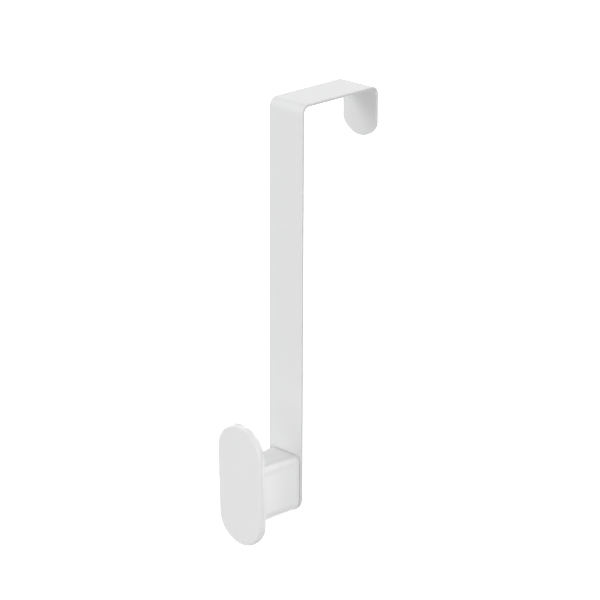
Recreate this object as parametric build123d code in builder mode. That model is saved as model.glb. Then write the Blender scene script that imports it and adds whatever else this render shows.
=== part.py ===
from build123d import *
import math
import os

# Over-the-door coat hook: a bent steel strap that hangs on a door, and a moulded knob screwed to it.
# Millimetres. The origin is the middle of the strap's underside where it sits on the door's top edge.
# X runs across the strap, Y from the knob towards the back of the door, and Z points up.

# Strap
strap_width = 20.0
sheet = 1.2
bend_inside = 2.8
door_gap = 45.0
foot_corner = 8.0
foot_margin = 0.6
tip_drop = 22.8
tip_arc = 11.4
tip_corner = 4.8
edge_ease = 0.2

# Knob's neck: its middle hangs this far below the door's top edge
neck_drop = 173.1
neck_width = 18.2
neck_height = 27.0
neck_top_rise = 0.8
neck_base_corner = 2.2
neck_top_corner = 4.6
neck_foot_corner = 6.0
neck_waist = 0.25
neck_end_length = 2.5
neck_root = 0.8
base_groove = 0.3
wall = 2.0
core_corner = 3.5
core_floor = 1.5

# Knob's front plate
plate_width = 27.0
plate_height = 57.2
plate_rise = 5.2
plate_thickness = 3.0
plate_reach = 29.8
plate_lean = 1.8
plate_front_rim = 1.3
plate_back_rim = 0.4

# Screw bosses inside the neck
boss_spacing = 14.0
boss_diameter = 6.6
rib_thickness = 1.4

# Countersunk self-tapping screws
screw_length = 13.0
screw_diameter = 2.9
screw_point = 2.0
head_diameter = 5.0
head_rim = 0.1
head_angle = 90.0
recess_width = 0.7
recess_span = 2.8
recess_depth = 1.1

# Clearances
screw_clearance = 0.1
head_clearance = 0.05
bore_clearance = 0.05
tip_clearance = 1.0
cut_margin = 1.0

# What follows from the sizes above
face_y = -door_gap / 2
rear_y = door_gap / 2
bend_outside = bend_inside + sheet
leg_drop = neck_drop + neck_height / 2 + foot_margin
neck_length = plate_reach - plate_thickness - sheet
strap_front_y = face_y - sheet
screw_planes = {
    name: Plane(origin=(0, face_y, height), x_dir=(1, 0, 0), z_dir=(0, 1, 0))
    for name, height in (
        ("screw_upper", boss_spacing / 2 - neck_drop),
        ("screw_lower", -boss_spacing / 2 - neck_drop),
    )
}
hole_radius = screw_diameter / 2 + screw_clearance
head_taper = math.tan(math.radians(head_angle / 2))
cone_height = (head_diameter - screw_diameter) / 2 / head_taper
seat_radius = head_diameter / 2 + head_clearance + head_rim * head_taper
bore_radius = screw_diameter / 2 + bore_clearance
bore_depth = screw_length + tip_clearance

# Strap: one strip of sheet, bent over the door at two corners
with BuildPart() as strap:
    with BuildSketch(Plane.YZ):
        with BuildLine():
            outside = FilletPolyline(
                (strap_front_y, -leg_drop),
                (strap_front_y, sheet),
                (rear_y + sheet, sheet),
                (rear_y + sheet, -tip_drop),
                radius=bend_outside,
            )
            inside = FilletPolyline(
                (face_y, -leg_drop),
                (face_y, 0),
                (rear_y, 0),
                (rear_y, -tip_drop),
                radius=bend_inside,
            )
            Line(outside @ 0, inside @ 0)
            Line(outside @ 1, inside @ 1)
        make_face()
    extrude(amount=strap_width / 2, both=True)

    # The back leg's end is a wide arc blended into the sides
    with BuildSketch(Plane.XZ.offset(-rear_y - sheet - cut_margin)):
        with Locations((0, tip_arc - tip_drop)):
            Rectangle(
                2 * tip_arc,
                tip_arc + cut_margin,
                align=(Align.CENTER, Align.MAX),
            )
            Circle(tip_arc, mode=Mode.SUBTRACT)
    extrude(amount=sheet + 2 * cut_margin, mode=Mode.SUBTRACT)
    tip_side_z = tip_arc - tip_drop - math.sqrt(tip_arc**2 - (strap_width / 2) ** 2)
    tip_edges = strap.edges().filter_by(Axis.Y).filter_by_position(
        Axis.Z, tip_side_z - edge_ease, tip_side_z + edge_ease
    )
    fillet(tip_edges, radius=tip_corner)

    # The front leg's foot has rounded corners
    foot_edges = strap.edges().filter_by(Axis.Y).group_by(Axis.Z)[0]
    fillet(foot_edges, radius=foot_corner)

    # Every sharp edge of the blank is eased before it is coated
    sides = strap.faces().filter_by(Axis.X).sort_by(Axis.X)
    chamfer(sides[0].edges() + sides[-1].edges(), length=edge_ease)

    # Countersunk screw holes, sunk from the side that faces the door
    with Locations(*screw_planes.values()):
        CounterSinkHole(hole_radius, seat_radius, counter_sink_angle=head_angle)

strap.part.label = "strap"

# Knob: an oblong plate with a rounded rim, on a hollow neck with two screw bosses
plate_plane = Plane(
    origin=(0, strap_front_y - neck_length, plate_rise - neck_drop),
    x_dir=(1, 0, 0),
    z_dir=(0, -math.cos(math.radians(plate_lean)), -math.sin(math.radians(plate_lean))),
)
plate_axis = Axis(plate_plane.origin, plate_plane.z_dir)
neck_plane = Plane.XZ.offset(-strap_front_y)

with BuildPart() as knob:
    # The neck is blended through three sections: its sides draw in to a slight waist,
    # its upper corners soften and its top rises a little on the way to the plate
    for reach, waist, rise, corner in (
        (base_groove, 0, 0, neck_base_corner),
        (neck_length / 2, neck_waist, neck_top_rise / 2, neck_top_corner),
        (neck_length - neck_end_length, 0, neck_top_rise, neck_top_corner),
    ):
        with BuildSketch(neck_plane.offset(reach)) as section:
            with Locations((0, -neck_drop - neck_height / 2)):
                Rectangle(
                    neck_width - 2 * waist,
                    neck_height + rise,
                    align=(Align.CENTER, Align.MIN),
                )
            fillet(section.vertices().group_by(Axis.Y)[-1], radius=corner)
            fillet(section.vertices().group_by(Axis.Y)[0], radius=neck_foot_corner)
    loft(ruled=True)
    extrude(section.sketch, amount=neck_end_length + plate_thickness / 2)

    # A shallow groove round the neck's base leaves a dark seam against the strap
    with BuildSketch(neck_plane) as base:
        with Locations((0, -neck_drop)):
            Rectangle(neck_width - 2 * base_groove, neck_height - 2 * base_groove)
        fillet(base.vertices().group_by(Axis.Y)[-1], radius=neck_base_corner - base_groove)
        fillet(base.vertices().group_by(Axis.Y)[0], radius=neck_foot_corner - base_groove)
    extrude(amount=base_groove)

    # The plate leans its top a little away from the door
    with BuildSketch(plate_plane):
        SlotOverall(plate_height, plate_width, rotation=90)
    extrude(amount=plate_thickness)
    plate_faces = knob.faces().filter_by(plate_plane).sort_by(plate_axis)
    fillet(plate_faces[-1].edges(), radius=plate_front_rim)
    chamfer(plate_faces[-2].outer_wire().edges(), length=plate_back_rim)
    plate_back = knob.faces().filter_by(plate_plane).sort_by(plate_axis)[-2]
    fillet(plate_back.inner_wires().edges(), radius=neck_root)

    # The neck is cored out from the strap's side, so its walls stay even
    with BuildSketch(neck_plane):
        with Locations((0, -neck_drop)):
            RectangleRounded(neck_width - 2 * wall, neck_height - 2 * wall, core_corner)
    extrude(amount=neck_length - core_floor, mode=Mode.SUBTRACT)

    # Two screw bosses stand in the core, joined to each other and to the walls by a rib
    with BuildSketch(neck_plane):
        with Locations((0, -neck_drop)):
            with GridLocations(0, boss_spacing, 1, 2):
                Circle(boss_diameter / 2)
            Rectangle(rib_thickness, neck_height - wall)
    extrude(amount=neck_length)
    with Locations(*screw_planes.values()):
        CounterSinkHole(bore_radius, seat_radius, bore_depth, head_angle)

knob.part.label = "knob"

# Screws: each head lies flush with the strap's back, in its countersink
screws = []
for name, head_plane in screw_planes.items():
    with BuildPart() as screw:
        with BuildSketch(Plane.XY.offset(head_plane.origin.Z)):
            with BuildLine():
                Polyline(
                    (0, face_y),
                    (head_diameter / 2, face_y),
                    (head_diameter / 2, face_y - head_rim),
                    (screw_diameter / 2, face_y - head_rim - cone_height),
                    (screw_diameter / 2, face_y - screw_length + screw_point),
                    (0, face_y - screw_length),
                    close=True,
                )
            make_face()
        revolve(axis=Axis(head_plane.origin, head_plane.z_dir))
        with BuildSketch(head_plane):
            Rectangle(recess_span, recess_width)
            Rectangle(recess_width, recess_span)
        extrude(amount=-recess_depth, mode=Mode.SUBTRACT)
    screw.part.label = name
    screws.append(screw.part)

os.makedirs("parts", exist_ok=True)
for piece in [strap.part, knob.part, *screws]:
    export_step(piece, f"parts/{piece.label}.step")
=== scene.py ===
import math

import bpy
from mathutils import Euler, Matrix, Vector


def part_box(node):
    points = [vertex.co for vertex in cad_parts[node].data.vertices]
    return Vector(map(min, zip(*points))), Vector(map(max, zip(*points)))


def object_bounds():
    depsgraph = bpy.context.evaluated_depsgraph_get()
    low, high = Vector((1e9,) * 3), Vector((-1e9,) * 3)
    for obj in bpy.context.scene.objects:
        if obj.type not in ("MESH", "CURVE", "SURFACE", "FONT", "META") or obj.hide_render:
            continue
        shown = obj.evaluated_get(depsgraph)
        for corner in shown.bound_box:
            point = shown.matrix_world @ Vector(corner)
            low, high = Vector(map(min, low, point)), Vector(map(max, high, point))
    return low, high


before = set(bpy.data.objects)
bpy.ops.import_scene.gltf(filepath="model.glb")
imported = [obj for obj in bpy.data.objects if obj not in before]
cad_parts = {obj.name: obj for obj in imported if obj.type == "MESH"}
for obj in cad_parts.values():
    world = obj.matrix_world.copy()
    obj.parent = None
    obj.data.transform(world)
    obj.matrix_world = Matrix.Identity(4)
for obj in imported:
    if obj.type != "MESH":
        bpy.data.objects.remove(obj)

cad_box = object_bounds()
MM = 0.001

# Camera: aim and bearing found from the strap's straight edges and the knob plate's outline
AIM = Vector((5.87, -20.57, -87.9)) * MM
AZIMUTH = 44.2
ELEVATION = 18.95
ROLL = 0.232
DISTANCE = 1341.7 * MM
LENS = 184.45
SENSOR = 36.0

# Knob's neck: it starts at the strap's front, and its sides draw in to a slight waist halfway along it.
# The waist's depth is in millimetres, as a relief's depth is.
NECK_LENGTH = 25.6 * MM
NECK_WAIST_DEPTH = 0.25
NECK_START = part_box("knob")[1][1]
NECK_MIDDLE = NECK_START - NECK_LENGTH / 2

# Screws: the tool marks on a head are rings this far apart
RING_SPACING = 0.16 * MM

# Stage, in metres: the floor lies well below the hook and turns up into a backdrop far off. It glows a little,
# and more from GLOW_STARTS to GLOW_FULL away from the origin, where the softboxes no longer reach.
FLOOR_DROP = 0.3
FLOOR_HALF = 6.0
BACKDROP_HEIGHT = 5.0
NEAR_GLOW = 0.42
FAR_GLOW = 0.7
GLOW_STARTS = 1.3
GLOW_FULL = 2.0

# Light: an even room light, and softboxes. Each has its place from the hook's middle in metres, its width and
# height in metres, and its power in watts.
ROOM_LIGHT = 0.24
SOFTBOXES = {
    "left_box": ((-1.6, 0.2, 0.4), (0.8, 0.8), 16.1),
    "left_front_box": ((-1.1, -1.1, 0.9), (0.9, 0.9), 5.6),
    "high_left_box": ((-0.9, -0.7, 1.3), (0.6, 0.6), 5.75),
    "high_front_box": ((-0.25, -1.3, 1.1), (0.4, 0.4), 1.15),
    "front_left_box": ((-0.75, -1.4, 0.7), (0.4, 0.4), 3.15),
    "front_box": ((-0.4, -1.6, 0.5), (0.4, 0.4), 1.35),
    "low_front_box": ((0.1, -1.6, -0.2), (0.6, 0.6), 2.0),
    "front_right_box": ((1.2, -1.2, 0.3), (0.6, 0.6), 4.95),
    "low_right_box": ((1.2, -0.9, -0.1), (0.4, 0.4), 9.3),
    "right_box": ((1.3, 0.3, 0.9), (0.9, 0.9), 2.9),
    "rear_right_box": ((0.8, 1.2, 0.9), (1.4, 1.4), 11.3),
    "rear_box": ((0.2, 1.2, 1.2), (0.8, 0.8), 3.9),
    "rear_left_box": ((-0.8, 1.0, 1.2), (0.6, 0.6), 5.7),
    "rear_card": ((0.45, 0.54, -0.319), (0.14, 0.12), 0.16),
}


def grey(level):
    return (level, level, level)


class Value:
    """A shader socket that takes part in sums like a number."""

    def __init__(self, finish, socket):
        self.finish = finish
        self.socket = socket

    def __add__(self, other):
        return self.finish.maths("ADD", self, other)

    def __sub__(self, other):
        return self.finish.maths("SUBTRACT", self, other)

    def __rsub__(self, other):
        return self.finish.maths("SUBTRACT", other, self)

    def __mul__(self, other):
        return self.finish.maths("MULTIPLY", self, other)

    def __pow__(self, other):
        return self.finish.maths("POWER", self, other)

    __radd__ = __add__
    __rmul__ = __mul__


class Finish:
    """A material, built up from nodes through helpers that are named for what they give."""

    def __init__(self, name):
        self.material = bpy.data.materials.new(name)
        self.material.use_nodes = True
        self.tree = self.material.node_tree
        self.surface = self.tree.nodes["Principled BSDF"]

    def fill(self, node, inputs):
        for key, value in inputs.items():
            if isinstance(value, Value):
                self.tree.links.new(value.socket, node.inputs[key])
            else:
                node.inputs[key].default_value = value

    def node(self, kind, settings=None, inputs=None, output=0):
        """One node: its settings first, then its sockets, and the output that is wanted of it."""
        node = self.tree.nodes.new(kind)
        for key, value in (settings or {}).items():
            setattr(node, key, value)
        self.fill(node, inputs or {})
        return Value(self, node.outputs[output])

    def place(self):
        """Where on the hook a point lies, in metres."""
        return self.node("ShaderNodeTexCoord", output="Object")

    def grain(self, size, detail=2.0, stretch=(1.0, 1.0, 1.0)):
        """Noise from 0 to 1 whose lumps are about this many millimetres across."""
        return self.node(
            "ShaderNodeTexNoise",
            inputs={
                "Vector": self.vectors("MULTIPLY", self.place(), stretch),
                "Scale": 1 / (size * MM),
                "Detail": detail,
                "Roughness": 0.5,
            },
        )

    def maths(self, operation, first, second=0.0):
        return self.node("ShaderNodeMath", {"operation": operation}, {0: first, 1: second})

    def vectors(self, operation, first, second=(0.0, 0.0, 0.0)):
        return self.node("ShaderNodeVectorMath", {"operation": operation}, {0: first, 1: second})

    def length(self, vector):
        return self.node("ShaderNodeVectorMath", {"operation": "LENGTH"}, {0: vector}, output="Value")

    def part_of(self, vector, axis):
        """One of a vector's three numbers, by the name of its axis."""
        return self.node("ShaderNodeSeparateXYZ", inputs={"Vector": vector}, output=axis)

    def tint(self, amount, low, high):
        """A colour between two, by an amount from 0 to 1."""
        low, high = ((*colour, 1.0) if isinstance(colour, tuple) else colour for colour in (low, high))
        factor, first_colour, second_colour, result = 0, 6, 7, 2
        return self.node(
            "ShaderNodeMix",
            {"data_type": "RGBA"},
            {factor: amount, first_colour: low, second_colour: high},
            output=result,
        )

    def relief(self, height, depth, onto=None):
        """Bumps of this many millimetres, over those of another relief where one is given."""
        inputs = {"Height": height, "Distance": depth * MM, "Strength": 1.0}
        if onto:
            inputs["Normal"] = onto
        return self.node("ShaderNodeBump", inputs=inputs)

    def set(self, **inputs):
        """Sets the shader's own sockets, with underscores for the spaces in their names."""
        self.fill(self.surface, {key.replace("_", " "): value for key, value in inputs.items()})


def powder_coat():
    """Satin white powder coat: slight orange peel, and painted shade: every face that looks sideways along X, the
    strip's cut edges among them, is darkened in the base colour.
    """
    coat = Finish("satin_powder_coat")
    peel = coat.grain(1.3, detail=1.0)
    fine_peel = coat.grain(0.35, detail=2.0)
    film = coat.grain(22.0, detail=3.0)
    speckle = coat.grain(0.12, detail=0.0)
    # Painted shade: faces that look sideways along X, such as the strip's cut edges, blend towards a darker grey
    # in the base colour.
    sideways = coat.part_of(coat.node("ShaderNodeTexCoord", output="Normal"), "X")
    sideways_shade = coat.maths("ABSOLUTE", sideways) ** 4
    coat_tone = coat.tint(0.7 * film + 0.3 * speckle, (0.665, 0.667, 0.668), (0.695, 0.697, 0.698))
    side_shade_colour = (0.52, 0.522, 0.523)
    coat.set(
        Base_Color=coat.tint(0.9 * sideways_shade, coat_tone, side_shade_colour),
        Roughness=0.42 + 0.10 * fine_peel + 0.06 * film,
        Normal=coat.relief(fine_peel, 0.003, onto=coat.relief(peel, 0.010)),
        IOR=1.5,
    )
    return coat.material


def moulded_plastic():
    """Glossy white moulded plastic: shallow waves of shrinkage, a fine haze, and a waist with no crease in it."""
    plastic = Finish("glossy_white_plastic")
    shrink = plastic.grain(14.0, detail=1.0)
    haze = plastic.grain(0.5, detail=3.0)
    flow = plastic.grain(30.0, detail=2.0, stretch=(1.0, 0.5, 0.4))
    along_neck = plastic.part_of(plastic.place(), "Y") - NECK_MIDDLE
    from_waist = plastic.maths("ABSOLUTE", along_neck * (2 / NECK_LENGTH))
    waist = plastic.relief(from_waist ** 2 - from_waist, NECK_WAIST_DEPTH)
    plastic.set(
        Base_Color=plastic.tint(0.8 * flow + 0.2 * haze, (0.70, 0.702, 0.703), (0.728, 0.73, 0.731)),
        Roughness=0.11 + 0.08 * haze + 0.05 * flow,
        Normal=plastic.relief(haze, 0.0008, onto=plastic.relief(shrink, 0.015, onto=waist)),
        IOR=1.49,
    )
    return plastic.material


def zinc_plate(name, axis_height):
    """Bright zinc on a turned screw: rings round its axis, and a faint blue to yellow cast."""
    zinc = Finish(name)
    from_axis = zinc.vectors("SUBTRACT", zinc.place(), (0.0, 0.0, axis_height))
    radius = zinc.length(zinc.vectors("MULTIPLY", from_axis, (1.0, 0.0, 1.0)))
    rings = 0.5 + 0.5 * zinc.maths("SINE", radius * (2 * math.pi / RING_SPACING))
    cast = zinc.grain(1.8, detail=2.0)
    pits = zinc.grain(0.15, detail=1.0)
    zinc.set(
        Base_Color=zinc.tint(cast, (0.40, 0.42, 0.45), (0.50, 0.48, 0.43)),
        Roughness=0.28 + 0.12 * pits + 0.08 * rings,
        Normal=zinc.relief(0.6 * rings + 0.4 * pits, 0.006),
        Metallic=1.0,
    )
    return zinc.material


def pale_paint(name):
    """Matt white paint, faintly mottled."""
    paint = Finish(name)
    mottle = paint.grain(60.0, detail=2.0)
    paint.set(
        Base_Color=paint.tint(mottle, (0.93, 0.93, 0.93), (0.95, 0.95, 0.95)),
        Roughness=0.7 + 0.1 * mottle,
        Emission_Strength=1.0,
    )
    return paint


def floor_paint():
    paint = pale_paint("pale_floor")
    far = paint.node(
        "ShaderNodeMapRange",
        inputs={"Value": paint.length(paint.place()), "From Min": GLOW_STARTS, "From Max": GLOW_FULL},
    )
    paint.set(Emission_Color=paint.tint(far, grey(NEAR_GLOW), grey(FAR_GLOW)))
    return paint.material


def backdrop_paint():
    paint = pale_paint("pale_backdrop")
    paint.set(Emission_Color=(*grey(NEAR_GLOW), 1.0))
    return paint.material


def dress(node_name, material):
    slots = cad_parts[node_name].data.materials
    slots.clear()
    slots.append(material)


def centre_of(node_name):
    low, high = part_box(node_name)
    return (Vector(low) + Vector(high)) / 2


def softbox(name, place, target, size, power):
    """A rectangular studio light that faces its target."""
    lamp = bpy.data.lights.new(name, "AREA")
    lamp.shape = "RECTANGLE"
    lamp.size, lamp.size_y = size
    lamp.energy = power
    holder = bpy.data.objects.new(name, lamp)
    holder.location = place
    holder.visible_camera = False
    holder.rotation_euler = (target - place).to_track_quat("-Z", "Y").to_euler()
    bpy.context.scene.collection.objects.link(holder)


def lay_floor():
    """A pale floor that turns up into a backdrop far off on every side."""
    height = cad_box[0].z - FLOOR_DROP
    ring = [(x * FLOOR_HALF, y * FLOOR_HALF) for x, y in ((-1, -1), (1, -1), (1, 1), (-1, 1))]
    corners = [(x, y, z) for z in (height, height + BACKDROP_HEIGHT) for x, y in ring]
    walls = [(i, (i + 1) % 4, (i + 1) % 4 + 4, i + 4) for i in range(4)]
    mesh = bpy.data.meshes.new("floor")
    mesh.from_pydata(corners, [], [(0, 1, 2, 3), *walls])
    mesh.materials.append(floor_paint())
    mesh.materials.append(backdrop_paint())
    for wall in mesh.polygons[1:]:
        wall.material_index = 1
    floor = bpy.data.objects.new("floor", mesh)
    floor.visible_diffuse = False  # only the softboxes and the room light the hook
    bpy.context.scene.collection.objects.link(floor)


def light_room():
    scene = bpy.context.scene
    scene.world = bpy.data.worlds.new("room")
    scene.world.use_nodes = True
    sky = scene.world.node_tree.nodes["Background"]
    sky.inputs["Color"].default_value = (1.0, 1.0, 1.0, 1.0)
    sky.inputs["Strength"].default_value = ROOM_LIGHT
    scene.view_settings.view_transform = "Standard"
    middle = (cad_box[0] + cad_box[1]) / 2
    for name, (place, size, power) in SOFTBOXES.items():
        softbox(name, middle + Vector(place), middle, size, power)


def aim_camera():
    turn = Euler((math.radians(90 - ELEVATION), 0.0, math.radians(AZIMUTH))).to_matrix()
    turn = turn @ Matrix.Rotation(math.radians(ROLL), 3, "Z")
    back = turn @ Vector((0.0, 0.0, 1.0))
    lens = bpy.data.cameras.new("camera")
    lens.sensor_width = SENSOR
    lens.lens = LENS
    lens.clip_start = 0.01
    camera = bpy.data.objects.new("camera", lens)
    camera.matrix_world = Matrix.Translation(AIM + back * DISTANCE) @ turn.to_4x4()
    bpy.context.scene.collection.objects.link(camera)
    bpy.context.scene.camera = camera


dress("strap", powder_coat())
dress("knob", moulded_plastic())
for screw in ("screw_upper", "screw_lower"):
    dress(screw, zinc_plate("zinc_" + screw, centre_of(screw).z))
lay_floor()
light_room()
aim_camera()
